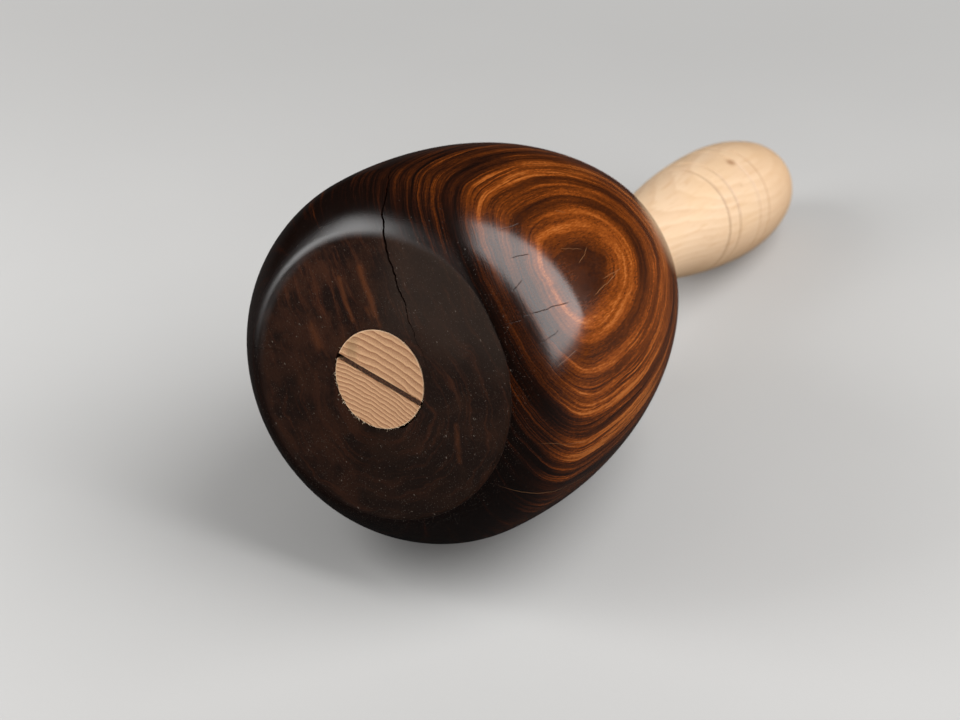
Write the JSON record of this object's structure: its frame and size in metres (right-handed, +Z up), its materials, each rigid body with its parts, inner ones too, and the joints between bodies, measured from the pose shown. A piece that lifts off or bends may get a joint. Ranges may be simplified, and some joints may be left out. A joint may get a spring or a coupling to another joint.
{
  "type": "round wooden mallet",
  "caption": "Round carver's mallet: a turned dark hardwood head on a turned pale handle, the handle's through tenon spread by a wedge at the flat striking face",
  "frame": {"origin": "centre of the flat striking face, on the turning axis", "axes": "+Z up with the mallet lying on a bench, +Y horizontally from the striking face towards the handle end, +X to the right seen from in front of the striking face"},
  "size_m": [0.099, 0.2442, 0.102],
  "materials": {
    "head_wood": "dark banded tropical hardwood, polished side, dull sanded striking face",
    "handle_wood": "pale close-grained hardwood, satin, bare end grain at the striking face",
    "wedge_wood": "dark hardwood, unfinished"
  },
  "bodies": {
    "root": {"head": "head_wood", "handle": "handle_wood", "wedge": "wedge_wood"}
  },
  "joints": []
}
